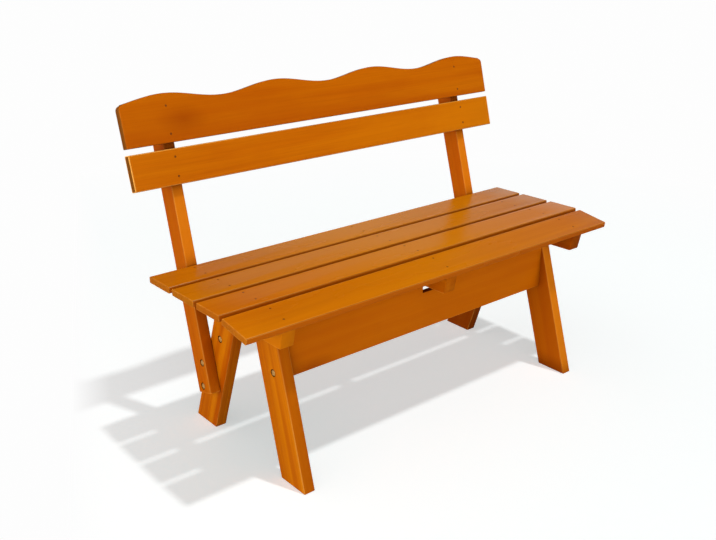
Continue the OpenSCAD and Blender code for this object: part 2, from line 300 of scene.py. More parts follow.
# %% Places of the fasteners
FRONT_SLOPE, REAR_SLOPE = math.radians(16.9549), math.radians(18.3534)
FRONT_FOOT, REAR_FOOT = -0.125268, 0.343732
NAIL_FRONT, NAIL_REAR, NAIL_EDGE, HEAD_SUNK = 0.027, 0.016, 0.020, 0.0003
BACK_T, BACK_L, BACK_W, BACK_RISE, BACK_GAP = 0.020, 1.194, 0.086, 0.212, 0.014
CREST_W, WAVE_A, WAVE_L, CORNER_R = 0.106, 0.010, 0.322, 0.012
CLEAT_T, CLEAT_W = 0.036, 0.062
RECESS_R, RECESS_DEEP, BOLT_R = 0.009, 0.008, 0.004
CLEAT_X = 0.488185
COACH_H = 0.260
COACH_YS = (-0.0065253, 0.217645)
BOLT_Y, BOLT_ZS = 0.25634, (0.125811, 0.189811)
UPPER_S = BACK_RISE + BACK_W + BACK_GAP
POST_LOW, POST_TOP = -0.306396, 0.414


def seat_nails_of(k):
    """Nails of a seat board: k is -1 for the front board and 0, 1, 2 for the others."""
    if k < 0:
        ys, plane, top = (-FRONT_GAP - BOARD_W + NAIL_FRONT, -FRONT_GAP - NAIL_REAR), on_front, BOARD_T
    else:
        start = k * (BOARD_W + BOARD_GAP)
        ys, plane, top = (start + NAIL_FRONT, start + BOARD_W - NAIL_REAR), on_seat, 0
    return [plane @ shift((x, y, top)) for x in (-CLEAT_X, 0, CLEAT_X) for y in ys]


def back_nails_at(heights):
    """Nails of a back board at these heights up the posts, one over each post."""
    places = []
    for s in heights:
        x = LEG_X - (post_foot.z + s * post_up.z) * math.tan(END_LEAN) + WOOD_FIT + POST_T / 2
        for side in (-1, 1):
            at = shift((side * x, -BACK_T - WOOD_FIT, s))
            places.append(on_back @ (at @ swing(math.pi / 2, 4, "X")))
    return places


def outwards(side, depth, y, z):
    """A place on an end frame, this deep behind the legs' outer faces, with z pointing outwards."""
    face = swing(side * math.pi / 2, 4, "Y")
    return end_frame(side) @ shift((-side * depth, y, z)) @ face


def coach_places(side):
    return [outwards(side, 0, y, COACH_H) for y in COACH_YS]


def bolt_places(side):
    return [outwards(side, -WOOD_FIT - POST_T, BOLT_Y, z) for z in BOLT_ZS]


LEG_TOP = bend.z
SCREW_R, SCREW_HEAD_R, SCREW_BITE, SCREW_SPREAD = 0.0025, 0.005, 0.025, 0.013
NAIL_HEAD_R, NAIL_R, NAIL_L, BACK_NAIL_L = 0.0026, 0.0014, 0.050, 0.055


def cleat_low(y):
    """The height of the cleats' lower edges, this far to the rear."""
    return bend.z - CLEAT_W / math.cos(SEAT_LEAN) - (y - bend.y) * math.tan(SEAT_LEAN)


def screw_places(side, front):
    """Wood screws on a leg's inner face, with z pointing outwards through the leg into the cleat."""
    foot, slope, way = (FRONT_FOOT, FRONT_SLOPE, 1) if front else (REAR_FOOT, REAR_SLOPE, -1)

    def mid(z):
        return foot + way * (LEG_W / math.cos(slope) / 2 + z * math.tan(slope))

    middle = (cleat_low(mid(LEG_TOP)) + LEG_TOP) / 2
    zs = [middle + step for step in (-SCREW_SPREAD, SCREW_SPREAD)]
    return [outwards(side, LEG_T, mid(z), z) for z in zs]


every_screw = [p for side in (-1, 1) for front in (True, False) for p in screw_places(side, front)]
seat_places = [place for k in range(-1, 3) for place in seat_nails_of(k)]
LOWER_NAILS = back_nails_at((BACK_RISE + NAIL_EDGE, BACK_RISE + BACK_W - NAIL_EDGE))
UPPER_NAILS = back_nails_at((UPPER_S + NAIL_EDGE, UPPER_S + CREST_W - NAIL_EDGE))
back_places = LOWER_NAILS + UPPER_NAILS
print(len(seat_places), "seat nails,", len(back_places), "back nails")

# %% [markdown]
# ## Seat boards
# Four boards of the same section. A driven nail leaves a small dished hole, so the cutter that
# makes it is a turned shape with a flared mouth: the flare is the wood that the hammer pressed in.

# %% Seat boards
HEAD_T, FIT, PROUD = 0.0012, 0.0001, 0.001
NAIL_STEPS = 16


def nail_cutter(length):
    """The hole that a nail fills, with a dished mouth. z = 0 is the face of the board."""
    low, mouth = -HEAD_SUNK - HEAD_T - FIT, NAIL_HEAD_R + 0.0006
    return turned([(0, -length), (NAIL_R + FIT, -length), (NAIL_R + FIT, low), (NAIL_HEAD_R + FIT, low),
                   (NAIL_HEAD_R + FIT, -0.0004), (mouth, 0.0001), (mouth, PROUD), (0, PROUD)],
                  steps=NAIL_STEPS)


def board(cad_node, place, nails, length, width, thick):
    """A planed board with rounded ends and its nail holes."""
    bm = planed_stick(place, length, width, thick, BOARD_R, ends=True)
    bm = cut_with(bm, copies(nail_cutter(thick + 2 * PROUD), nails))
    wooden(bm, cad_node, "planed", place, length, width, thick)


for k, row in enumerate(("front", "second", "third", "rear"), -1):
    if k < 0:
        lay = on_front @ shift((0, -FRONT_GAP - BOARD_W, 0))
    else:
        lay = on_seat @ shift((0, k * (BOARD_W + BOARD_GAP), -BOARD_T))
    board("seat_board_" + row, lay, seat_nails_of(k), SEAT_L, BOARD_W, BOARD_T)

# %% [markdown]
# ## Back boards
# The lower back board is planed like a seat board and stands on its edge. The upper one has a wavy
# top: the joiner draws one wave on the board, saws along it with a bandsaw, rounds the two corners
# and takes off all sharp edges. Here the blank is divided along its length, its top row of points
# is moved onto the wave, and the bevels follow.

# %% Back boards
def standing(height):
    """The place of a back board whose lower edge is this high up the posts."""
    return on_back @ axes((0, -WOOD_FIT, height), (1, 0, 0), (0, 0, 1))


board("back_board_lower", standing(BACK_RISE), LOWER_NAILS, BACK_L, BACK_W, BACK_T)

WAVE_STEP, CREST_EASE, SHARP = 0.004, 0.0022, math.radians(45)


def wave_at(x):
    return WAVE_A * math.cos(2 * math.pi * x / WAVE_L)


def wavy_board():
    bm = block(BACK_L, CREST_W, BACK_T, shift((0, CREST_W / 2, BACK_T / 2)))
    for v in bm.verts:
        if v.co.y > CREST_W / 2:
            v.co.y -= wave_at(v.co.x)
    corners = [e for e in bm.edges if all(v.co.y > CREST_W / 2 for v in e.verts)
               and abs(e.verts[0].co.z - e.verts[1].co.z) > BACK_T / 2]
    round_edges(bm, corners, CORNER_R, 8)
    corner_x = BACK_L / 2 - CORNER_R
    steps = round(2 * corner_x / WAVE_STEP)
    for k in range(1, steps):
        divide(bm, (-corner_x + 2 * corner_x * k / steps, 0, 0), (1, 0, 0))
    for v in bm.verts:
        if v.co.y > CREST_W / 2 and abs(v.co.x) < corner_x + 10 * SAME_SPOT:
            v.co.y = CREST_W - wave_at(v.co.x)
    rim = [e for e in bm.edges if e.calc_face_angle(0) > SHARP]
    round_edges(bm, rim, CREST_EASE, 4, clamp_overlap=True)
    return bm


crest_place = standing(UPPER_S)
crest = wavy_board()
carry(crest, crest_place)
crest = cut_with(crest, copies(nail_cutter(BACK_T + 2 * PROUD), UPPER_NAILS))
wooden(crest, "back_board_upper", "wavy", crest_place, BACK_L, LONG, BACK_T)

# %% [markdown]
# ## Bores
# Every nail and screw gets the hole it stands in, so that no two solids share any wood. A straight
# bore serves the nails and the coach screws. A wood screw's hole opens into a cone for its head.

# %% Bores
SCREW_STEPS = 20
CONE_TOP, CONE_LOW = 0.0003, 0.003


def bore(radius, low, high=PROUD):
    """A straight hole between two heights on its own axis."""
    return turned([(0, low), (radius + FIT, low), (radius + FIT, high), (0, high)], steps=NAIL_STEPS)


def screw_cutter():
    """The hole of a wood screw, whose head lies at z = 0 on the inner face of a leg."""
    wide, narrow, tip = SCREW_HEAD_R + FIT, SCREW_R + FIT, LEG_T + SCREW_BITE + FIT
    return turned([(0, -PROUD), (wide, -PROUD), (wide, CONE_TOP), (narrow, CONE_LOW), (narrow, tip),
                   (0, tip)], steps=SCREW_STEPS)


def joined(parts):
    bm = bmesh.new()
    for part in parts:
        mesh = mesh_of(part, "part")
        bm.from_mesh(mesh)
        bpy.data.meshes.remove(mesh)
    return bm


# %% [markdown]
# ## Cleats
# A cleat is a stout block across the bench under the seat boards. Its top is sawn to two slopes,
# because the front board tips forward, and its front end slopes under the nose of the seat. A
# block that is larger all round is sawn by one plane after the other.

# %% Cleats
CLEAT_SETBACK, NOSE_CUT = 0.006, math.radians(12)
BLANK_L, BLANK_SPARE, CLEAT_R = 0.6, 0.05, 0.0015
nose_top = bend - (FRONT_GAP + BOARD_W - CLEAT_SETBACK) * drop_dir
nose_out = Vector((0, -math.cos(NOSE_CUT), -math.sin(NOSE_CUT)))


def saw_under(bm, *uppers):
    """Saws a piece to the slopes of the boards on it. A slope is given by its upward direction."""
    for upper in uppers:
        saw(bm, in_part @ (bend - WOOD_FIT * upper), upper, 0)


for hand, x in (("left", -CLEAT_X), ("middle", 0), ("right", CLEAT_X)):
    corner = bend - CLEAT_W * seat_up + Vector((x - CLEAT_T / 2, 0, 0))
    place = in_part @ axes(corner, seat_dir, seat_up)
    bm = planed_stick(place, BLANK_L, CLEAT_W + BLANK_SPARE, CLEAT_T, CLEAT_R)
    saw_under(bm, seat_up, drop_up)
    saw(bm, in_part @ nose_top, nose_out)
    saw(bm, in_part @ (post_foot + POST_GAP * post_out), -post_out)
    nails = [p for p in seat_places if abs(p.translation.x - x) < CLEAT_T]
    cutters = [copies(bore(NAIL_R, -NAIL_L - FIT), nails)]
    if x:
        cutters.append(copies(screw_cutter(), [p for p in every_screw if p.translation.x * x > 0]))
    bm = cut_with(bm, joined(cutters))
    wooden(bm, "cleat_" + hand, "sawn", place, LONG, CLEAT_W, CLEAT_T)

# %% [markdown]
# ## Legs
# Each leg is one board set on the slant, sawn level at the floor and along the slope of the seat
# at its top. The round recesses for the heads are bored first in the real bench, and cut here with
# one turned cutter: a wide flat-bottomed recess with a slightly worn mouth, then the narrow hole.

# %% Recesses and legs
WORN_MOUTH = 0.0005
LEG_MIDDLE = 0.22
HANDS = ((-1, "left"), (1, "right"))


def recess_cutter(thick):
    """A recess for a head from z = 0, and a bolt hole on through wood of this thickness."""
    hole, mouth, through = BOLT_R + FIT, RECESS_R + WORN_MOUTH, thick + PROUD
    return turned([(0, -through), (hole, -through), (hole, -RECESS_DEEP), (RECESS_R, -RECESS_DEEP),
                   (RECESS_R, -WORN_MOUTH), (mouth, WORN_MOUTH / 10), (mouth, PROUD), (0, PROUD)])


def leg(cad_node, side, front):
    foot, slope = (FRONT_FOOT, -FRONT_SLOPE) if front else (REAR_FOOT, REAR_SLOPE)
    lean = end_frame(side) @ shift((0, foot, 0)) @ swing(slope, 4, "X")
    first, last = (0, LEG_W) if front else (-LEG_W, 0)
    place = lean @ axes((0, first if side > 0 else last, LEG_MIDDLE), (0, 0, 1), (0, side, 0))
    bm = planed_stick(place, BLANK_L, LEG_W, LEG_T, STICK_R)
    saw(bm, (0, 0, 0), (0, 0, -1))
    saw_under(bm, seat_up)
    cutters = [copies(recess_cutter(LEG_T), [coach_places(side)[0 if front else 1]])]
    if not front:
        inner = shift((0, 0, -WOOD_FIT - POST_T - LEG_T)) @ swing(math.pi, 4, "X")
        cutters.append(copies(recess_cutter(LEG_T), [b @ inner for b in bolt_places(side)]))
    cutters.append(copies(screw_cutter(), screw_places(side, front)))
    bm = cut_with(bm, joined(cutters))
    wooden(bm, cad_node, "sawn", place, LONG, LEG_W, LEG_T)


for side, hand in HANDS:
    leg("leg_front_" + hand, side, True)
    leg("leg_rear_" + hand, side, False)

# %% [markdown]
# ## Posts
# A post is a narrower stick on the outer face of the rear leg. It is sawn square at both ends.

# %% Posts
for side, hand in HANDS:
    length = POST_TOP - POST_LOW
    slab = end_frame(side) @ shift((side * WOOD_FIT, post_foot.y, post_foot.z))
    slab = slab @ swing(-BACK_RAKE, 4, "X")
    corner = (0, POST_W if side > 0 else 0, (POST_LOW + POST_TOP) / 2)
    place = slab @ axes(corner, (0, 0, 1), (0, -side, 0))
    bm = planed_stick(place, length, POST_W, POST_T, STICK_R, ends=True)
    nails = [p for p in back_places if p.translation.x * side > 0]
    bm = cut_with(bm, joined([copies(recess_cutter(POST_T), bolt_places(side)),
                              copies(bore(NAIL_R, -BACK_NAIL_L - FIT), nails)]))
    wooden(bm, "post_" + hand, "planed", place, length, POST_W, POST_T)

# %% [markdown]
# ## Aprons
# The two aprons stand on edge between the legs and keep the bench from racking. Their ends are
# sawn to the lean of the legs, and a notch lets the middle cleat pass.

# %% Aprons
WASHER_T, COACH_L = 0.0016, 0.080
COACH_LOW = WASHER_T - RECESS_DEEP - COACH_L
APRON_BLANK_L, APRON_BLANK_W, APRON_R = 1.0, 0.2, 0.002
NOTCH_ROOM, NOTCH_T, NOTCH_H = 0.020, 0.05, 0.2

for row, y, uppers in (("front", COACH_YS[0], (seat_up, drop_up)), ("rear", COACH_YS[1], (seat_up,))):
    place = in_part @ axes((0, y + APRON_T / 2, APRON_H), (1, 0, 0), (0, 0, 1))
    bm = planed_stick(place, APRON_BLANK_L, APRON_BLANK_W, APRON_T, APRON_R)
    for side in (-1, 1):
        inner_face = end_frame(side) @ Vector((-side * (LEG_T + WOOD_FIT), 0, 0))
        saw(bm, inner_face, end_frame(side).to_3x3() @ Vector((side, 0, 0)), 0)
    saw_under(bm, *uppers)
    notch_at = in_part @ shift((0, y, cleat_low(y) - NOTCH_ROOM + NOTCH_H / 2))
    notch = block(CLEAT_T + 0.001, NOTCH_T, NOTCH_H, notch_at)
    ends = [coach_places(side)[0 if row == "front" else 1] for side in (-1, 1)]
    bm = cut_with(bm, joined([notch, copies(bore(BOLT_R, COACH_LOW - FIT, -LEG_T / 2), ends)]))
    wooden(bm, "apron_" + row, "sawn", place, LONG, LONG, APRON_T)

# %% [markdown]
# ## Nails
# A wire nail has a flat head with a rounded rim, a round shank and a cut point.

# %% Nails
def nail(length):
    top = -HEAD_SUNK
    return turned([(0, top), (NAIL_HEAD_R - 0.0005, top), (NAIL_HEAD_R - 0.0001, top - 0.0002),
                   (NAIL_HEAD_R, top - 0.0005), (NAIL_HEAD_R - 0.0002, top - 0.0009),
                   (NAIL_R, top - HEAD_T), (NAIL_R, -length + 0.003), (0.0003, -length), (0, -length)],
                  steps=NAIL_STEPS)


for row, length, places in (("seat", NAIL_L, seat_places), ("back", BACK_NAIL_L, back_places)):
    make_piece(copies(nail(length), places), row + "_wire_nails", row + "_nails")

# %% [markdown]
# ## Hexagon heads and nuts
# A real head is a six-sided bar whose corners are turned off in a lathe, which leaves a round
# facet on top and a curved line on each flat. So a six-sided prism is made and only what lies
# inside a turned shape with a sloping shoulder is kept. The faces that look up get a material of
# their own, bright zinc. The flats and the shoulder get a darker zinc: painted shade of the recess
# that a head sits in.

# %% Hexagons
HEX_R = 0.0065 / math.cos(math.radians(30))
HEAD_HIGH, NUT_HIGH, WASHER_R, LOOKS_UP = 0.0053, 0.0064, 0.008, 0.9
SHOULDER_H, SHOULDER_IN, LEAD_IN = 0.0007, 0.0011, 0.0008
LATHE_STEPS = 48


def hexagon(high, hole=0.0):
    """A head that stands on z = 0, or with a hole in it a nut, whose shoulder is turned at both ends."""
    bm = bmesh.new()
    bmesh.ops.create_cone(bm, cap_ends=True, segments=6, radius1=HEX_R, radius2=HEX_R, depth=high,
                          matrix=shift((0, 0, high / 2)) @ swing(math.pi / 6, 4, "Z"))
    wide, flat = HEX_R + 0.0003, HEX_R - SHOULDER_IN
    low = [(0, 0), (flat, 0), (wide, SHOULDER_H)] if hole else [(0, -PROUD), (wide, -PROUD)]
    shoulder = low + [(wide, high - SHOULDER_H), (flat, high), (0, high)]
    bm = cut_with(bm, turned(shoulder, steps=LATHE_STEPS), "INTERSECT")
    if hole:
        mouth = hole + LEAD_IN
        bm = cut_with(bm, turned([(0, -PROUD), (mouth, -PROUD), (mouth, 0), (hole, LEAD_IN),
                                  (hole, high - LEAD_IN), (mouth, high), (mouth, high + PROUD),
                                  (0, high + PROUD)]))
    for face in bm.faces:
        # Faces that look up get bright zinc, the others a darker zinc as painted shade
        face.material_index = 0 if face.normal.z > LOOKS_UP else 1
    return bm


# %% [markdown]
# ## Threads, coach screws and bolts
# A thread is a ridge that winds down a shank. It is hidden in the wood, so a row of plain ridges
# stands in for it and needs one spin. Every head is turned by its own chance angle, as a spanner
# leaves it.

# %% Threads, coach screws and bolts
COACH_THREAD = {"pitch": 0.0035, "thread_l": 0.050, "point": 0.008}
BOLT_THREAD = {"pitch": 0.00125, "thread_l": 0.022, "point": 0.001}


def screwed(length, radius, pitch, thread_l, point):
    """A shank down to z = -length whose last part carries a thread, drawn as a row of ridges."""
    shank, root = radius - 0.0002, radius - 0.0008
    ridges = int((thread_l - point) / pitch)
    start = -length + point + ridges * pitch
    profile = [(0, 0), (shank, 0), (shank, start)]
    for k in range(ridges):
        z = start - k * pitch
        profile += [(root, z - 0.25 * pitch), (root, z - 0.5 * pitch), (radius, z - 0.75 * pitch)]
    profile += [(root, -length + point), (0.0004, -length), (0, -length)]
    return turned(profile, steps=SCREW_STEPS)


# The heads stand on washers at the bottom of their recesses
every_coach = [p for side in (-1, 1) for p in coach_places(side)]
every_bolt = [p for side in (-1, 1) for p in bolt_places(side)]
on_washer = shift((0, 0, WASHER_T - RECESS_DEEP))
all_coach = [p @ on_washer for p in every_coach]
all_bolts = [p @ on_washer for p in every_bolt]
GRIP = WOOD_FIT + POST_T + LEG_T - 2 * RECESS_DEEP
BOLT_L = GRIP + 2 * WASHER_T + NUT_HIGH - 0.001
random.seed(7)
turns = [swing(random.uniform(0, math.pi / 3), 4, "Z") for _ in all_coach + all_bolts]
coach_heads = [p @ t for p, t in zip(all_coach, turns)]
bolt_heads = [p @ t for p, t in zip(all_bolts, turns[4:])]
coach = joined([copies(hexagon(HEAD_HIGH), coach_heads),
                copies(screwed(COACH_L, BOLT_R, **COACH_THREAD), all_coach)])
make_piece(coach, "coach_screws_turned", "coach_screws")
bolts = joined([copies(hexagon(HEAD_HIGH), bolt_heads),
                copies(screwed(BOLT_L, BOLT_R, **BOLT_THREAD), all_bolts)])
make_piece(bolts, "post_bolts_turned", "post_bolts")
nut_low = shift((0, 0, -RECESS_DEEP - GRIP - WASHER_T - NUT_HIGH))
nuts = [p @ nut_low @ t for side in (-1, 1) for p, t in zip(bolt_places(side), turns[3 + side:])]
make_piece(copies(hexagon(NUT_HIGH, BOLT_R + FIT), nuts), "post_nuts_faced", "post_nuts")

# %% [markdown]
# ## Washers and wood screws
# A stamped washer has one rounded rim. Four countersunk screws hold each outer cleat to its legs.

# %% Washers and wood screws
WASHER_STEPS = 40
SLOT_SIZE = (0.0052, 0.0011, 0.003)


def washer():
    hole, rim, t = BOLT_R + FIT, WASHER_R, WASHER_T
    return turned([(hole, 0), (rim, 0), (rim, t - 0.0005), (rim - 0.0002, t - 0.00015), (rim - 0.0006, t),
                   (hole + 0.0004, t), (hole, t - 0.0003)], steps=WASHER_STEPS, ring=True)


under_head = shift((0, 0, -RECESS_DEEP))
under_nut = shift((0, 0, -RECESS_DEEP - GRIP - WASHER_T))
washer_places = [p @ under_head for p in every_coach + every_bolt] + [p @ under_nut for p in every_bolt]
make_piece(copies(washer(), washer_places), "washers_stamped", "washers")
print(len(washer_places), "washers")


def wood_screw():
    """A countersunk screw with a cross slot. z = 0 is its head's flat face."""
    root, tip = SCREW_R - 0.0006, LEG_T + SCREW_BITE
    body = turned([(0, 0), (SCREW_HEAD_R - 0.0003, 0), (SCREW_HEAD_R, CONE_TOP), (SCREW_R, CONE_LOW),
                   (SCREW_R, 0.018), (root, 0.0185), (root, tip - 0.005), (0, tip)], steps=SCREW_STEPS)
    for turn in (0, math.pi / 2):
        body = cut_with(body, block(*SLOT_SIZE, swing(turn, 4, "Z")))
    return body


make_piece(copies(wood_screw(), every_screw), "cleat_wood_screws", "cleat_screws")

# %% [markdown]
# ## Helpers for shader nodes
# A material in Blender is a net of nodes. A few short helpers add a node, feed its sockets and
# hand back what comes out. What is fed in is another node's output, which gets linked and also
# says which net it is in, or a plain value, which is written into the socket.

# %% Helpers for shader nodes
def node(tree, kind, links=(), **values):
    """Adds a node, sets its properties or its sockets by name, and links sources to its sockets."""
    made = tree.nodes.new(kind)
    for key, value in values.items():
        if hasattr(made, key):
            setattr(made, key, value)
        else:
            made.inputs[key.replace("_", " ")].default_value = value
    for target, source in dict(links).items():
        tree.links.new(source, made.inputs[target])
    return made


def feed(sockets, values):
    for socket, value in zip(sockets, values):
        if hasattr(value, "is_output"):
            socket.id_data.links.new(value, socket)
        else:
            socket.default_value = value


def fed(kind, values, **settings):
    """Adds a node to the net that its sources are in, and feeds its sockets in their order."""
    made = node(next(v.id_data for v in values if hasattr(v, "is_output")), kind, **settings)
    feed(made.inputs, values)
    return made


def maths(operation, *values):
    return fed("ShaderNodeMath", values, operation=operation).outputs[0]


def plus(a, b):
    return maths("ADD", a, b)


def times(a, b):
    return maths("MULTIPLY", a, b)


def larger(a, b):
    return maths("MAXIMUM", a, b)


def rest_of(value):
    """What a value lacks to make 1."""
    return maths("SUBTRACT", 1.0, value)


def vectors(operation, *values):
    """A sum or difference is a vector. A length, a distance or a dot product is a number."""
    made = fed("ShaderNodeVectorMath", values, operation=operation)
    return made.outputs["Vector" if operation in ("ADD", "SUBTRACT") else "Value"]


def xyz(vector):
    return fed("ShaderNodeSeparateXYZ", [vector]).outputs


def ranged(source, low, high):
    """0 below low, 1 above high, and an even slope between them."""
    return fed("ShaderNodeMapRange", [source, low, high], clamp=True).outputs["Result"]


def stretched(place, scale):
    return fed("ShaderNodeMapping", [place], Scale=scale).outputs[0]


def noise(place, scale, detail, roughness):
    """Soft random patches, finer where the scale of a direction is larger."""
    made = fed("ShaderNodeTexNoise", [stretched(place, scale)],
               Scale=1.0, Detail=detail, Roughness=roughness)
    return made.outputs["Fac"]


def mixed(factor, a, b):
    """Colour a where the factor is 0, and colour b where it is 1."""
    made = node(factor.id_data, "ShaderNodeMix", data_type="RGBA")
    colours = [(*c, 1) if isinstance(c, tuple) else c for c in (a, b)]
    feed((made.inputs[0], made.inputs[6], made.inputs[7]), (factor, *colours))
    return made.outputs[2]


def ramp(source, stops):
    """Grey levels or colours along a value from 0 to 1."""
    made = fed("ShaderNodeValToRGB", [source])
    elements = made.color_ramp.elements
    while len(elements) < len(stops):
        elements.new(1.0)
    for element, (at, tone) in zip(elements, stops):
        element.position = at
        element.color = (*tone, 1) if isinstance(tone, tuple) else (tone, tone, tone, 1)
    return made.outputs["Color"]


def new_material(name):
    material = bpy.data.materials.new(name)
    material.use_nodes = True
    return material, material.node_tree, material.node_tree.nodes["Principled BSDF"]


# %% [markdown]
# ## The stained wood
# Softwood shows its yearly rings as soft bands along a board. So the pattern is made the way the
# tree makes it: rings round an axis, the pith, that runs along the grain. Each piece reads them
# from its own spot beside the pith, which gives straight lines, wide arches or arcs on the end
# grain without a separate picture for each. Fine fibres and broad blotches of stain lie over them.
# All of this is one group of nodes, and its inputs are what differs from piece to piece.

# %% Rings, fibres and blotches
RING = 0.0042
INPUTS = {
    "Vector": ("Stick", "Spot", "Grain", "Across", "Size", "Cloud"),
    "Color": ("Toned", "Sided"),
    "Float": ("Streaks", "Tone", "Lean", "Worn", "Ends", "Sides", "Rubbed", "Bored", "Matt", "Shaded",
              "Corners")}
group = bpy.data.node_groups.new("stained softwood", "ShaderNodeTree")
for kind, labels in INPUTS.items():
    for label in labels:
        group.interface.new_socket(label, in_out="INPUT", socket_type="NodeSocket" + kind)
for label, kind in (("Colour", "Color"), ("Height", "Float"), ("Gloss", "Float")):
    group.interface.new_socket(label, in_out="OUTPUT", socket_type="NodeSocket" + kind)
given, out = node(group, "NodeGroupInput").outputs, node(group, "NodeGroupOutput").inputs

in_tree = vectors("ADD", given["Stick"], given["Spot"])
rings = node(group, "ShaderNodeTexWave", {"Vector": stretched(in_tree, (0.10, 1, 1))},
             wave_type="RINGS", rings_direction="X", wave_profile="SAW", Scale=2 * math.pi / (20 * RING),
             Distortion=7.0, Detail=2.0, Detail_Scale=0.09, Detail_Roughness=0.5)
ring_tone = ramp(rings.outputs["Color"], ((0.0, 0.75), (0.45, 0.62), (0.85, 0.2), (0.97, 0.0), (1.0, 0.5)))
fibres = noise(in_tree, (9, 420, 420), 3.0, 0.6)
bands = noise(in_tree, (1.6, 48, 48), 2.0, 0.5)
blotches = noise(in_tree, (4, 13, 13), 3.0, 0.55)

# %% [markdown]
# ## Tones
# Every board took the stain in its own way. Bands, rings, blotches and fibres are mixed from a few
# tones, and the piece then goes a part of the way to a tone of its own, often further at one end.
# On the lower back board the paler right end is painted sheen, not stain.

# %% Tones
OAT, AMBER, HONEY = (0.57, 0.188, 0.001), (0.68, 0.205, 0.002), (0.57, 0.138, 0.001)
RUSSET, DARK = (0.44, 0.074, 0.0005), (0.33, 0.048, 0.0005)
band_tone = ramp(ranged(bands, 0.36, 0.64), ((0.0, RUSSET), (0.45, HONEY), (1.0, AMBER)))
based = mixed(given["Streaks"], HONEY, band_tone)
late = mixed(ring_tone, DARK, based)
ringed = mixed(plus(times(given["Streaks"], 0.26), 0.06), based, late)
blotched = mixed(times(ranged(blotches, 0.42, 0.72), 0.40), ringed, RUSSET)
fibred = mixed(times(ranged(fibres, 0.45, 0.8), 0.25), blotched, DARK)

stick, size = xyz(given["Stick"]), xyz(given["Size"])
along = maths("DIVIDE", stick["X"], size["X"])
tone = plus(given["Tone"], times(given["Lean"], along))
toned = mixed(tone, fibred, given["Toned"])

# %% [markdown]
# ## A paler middle and a cloud
# The middle of each seat board is painted paler: painted light, for the light that falls there.
# The upper back board and the aprons each have one cloud of darker colour, longer along the grain
# than across it, and ragged because the blotches push its edge in and out. On the upper back board
# the cloud is stain; on the aprons it is painted shade, under the seat near the left legs.

# %% A paler middle and a cloud
LIT_MIDDLE_PALE = (0.66, 0.215, 0.001)
CLOUD_L, CLOUD_W, CLOUD_DEPTH = 0.070, 0.034, 0.65
# Painted light: the middle of a seat board is made paler
from_middle = ranged(maths("ABSOLUTE", along), 0.05, 0.42)
lit_in_middle = mixed(times(rest_of(from_middle), given["Worn"]), toned, LIT_MIDDLE_PALE)
from_cloud = vectors("SUBTRACT", given["Stick"], given["Cloud"])
away = vectors("LENGTH", stretched(from_cloud, (1 / CLOUD_L, 1 / CLOUD_W, 0)))
ragged = plus(away, times(blotches, 1.4))
in_cloud = rest_of(ranged(ragged, 0.7, 1.9))
clouded = mixed(times(in_cloud, CLOUD_DEPTH), lit_in_middle, DARK)

# %% [markdown]
# ## End grain and sides
# End grain drinks more stain and dries darker, and the narrow sides of a piece can differ from its
# faces. The face's own direction says which it is: the surface normal is compared with the
# direction of the grain, or with the direction across it. On the posts the tone of the sides ends
# under the seat: their pale sides above it are partly painted light, and below it they are left
# darker as painted shade of the boards.

# %% End grain and sides
END_STAIN = (0.15, 0.052, 0.006)
SHADE_LOW, SHADE_HIGH = 0.405, 0.435
normal = node(group, "ShaderNodeNewGeometry").outputs["True Normal"]


def facing(direction):
    """1 on the faces that look along this direction or against it, and 0 on the others."""
    return ranged(maths("ABSOLUTE", vectors("DOT_PRODUCT", normal, direction)), 0.45, 0.85)


ended = mixed(times(facing(given["Grain"]), given["Ends"]), clouded, END_STAIN)
height = xyz(node(group, "ShaderNodeTexCoord").outputs["Object"])["Z"]
# Painted shade: below the seat the posts' narrow sides lose their paler tone
under_seat = rest_of(ranged(height, SHADE_LOW, SHADE_HIGH))
lit_above_seat = rest_of(times(under_seat, given["Shaded"]))
side_amount = times(times(facing(given["Across"]), lit_above_seat), given["Sides"])
sided = mixed(side_amount, ended, given["Sided"])

# %% [markdown]
# ## Arrises, corners and holes
# On the rounded edges, the arrises, the stain was wiped thin and rubbed, so they are paler, and the
# paleness is also a painted highlight, the light that a rounded edge catches. A point lies on an
# arris when it is close to two faces of its stick at once. Where two pieces meet, the corner is
# darkened as painted shade: ambient occlusion finds such corners, because little of the open air
# is seen from them. The walls of a hole lie inside the stick, away from every face, and are
# darkened as painted shade too.

# %% Arrises, corners and holes
ARRIS = 0.003
WORN_PALE_AND_HIGHLIGHT, PAINTED_CORNER_SHADE, PAINTED_HOLE_SHADE = (0.90, 0.40, 0.07), (0.16, 0.022, 0.0003), (0.10, 0.028, 0.001)
CORNER_REACH = 0.06


def near_face(position, centre, reach):
    """How far a point is past a line one arris inside the face, 0 to 1."""
    off = maths("ABSOLUTE", maths("SUBTRACT", position, centre))
    return maths("DIVIDE", maths("SUBTRACT", off, maths("SUBTRACT", reach, ARRIS)), ARRIS)


half = [times(size[axis], 0.5) for axis in "XYZ"]
past_end = near_face(stick["X"], 0.0, half[0])
past_side, past_face = (near_face(stick[a], h, h) for a, h in zip("YZ", half[1:]))
past_either = larger(past_side, past_face)
long_arris = ranged(maths("MINIMUM", past_side, past_face), 0.15, 0.65)
end_arris = ranged(maths("MINIMUM", past_end, past_either), 0.15, 0.65)
end_arris = times(end_arris, plus(given["Ends"], 0.1))
arris = larger(long_arris, end_arris)
# The paler arrises are wear and a painted highlight together
rubbed = times(times(arris, ranged(bands, 0.25, 0.6)), given["Rubbed"])
edged = mixed(rubbed, sided, WORN_PALE_AND_HIGHLIGHT)
# Painted shade: corners that see little open air are darkened
open_air = node(group, "ShaderNodeAmbientOcclusion", Distance=CORNER_REACH, samples=8).outputs["AO"]
corner_shade = times(rest_of(ranged(open_air, 0.35, 0.9)), given["Corners"])
cornered = mixed(corner_shade, edged, PAINTED_CORNER_SHADE)
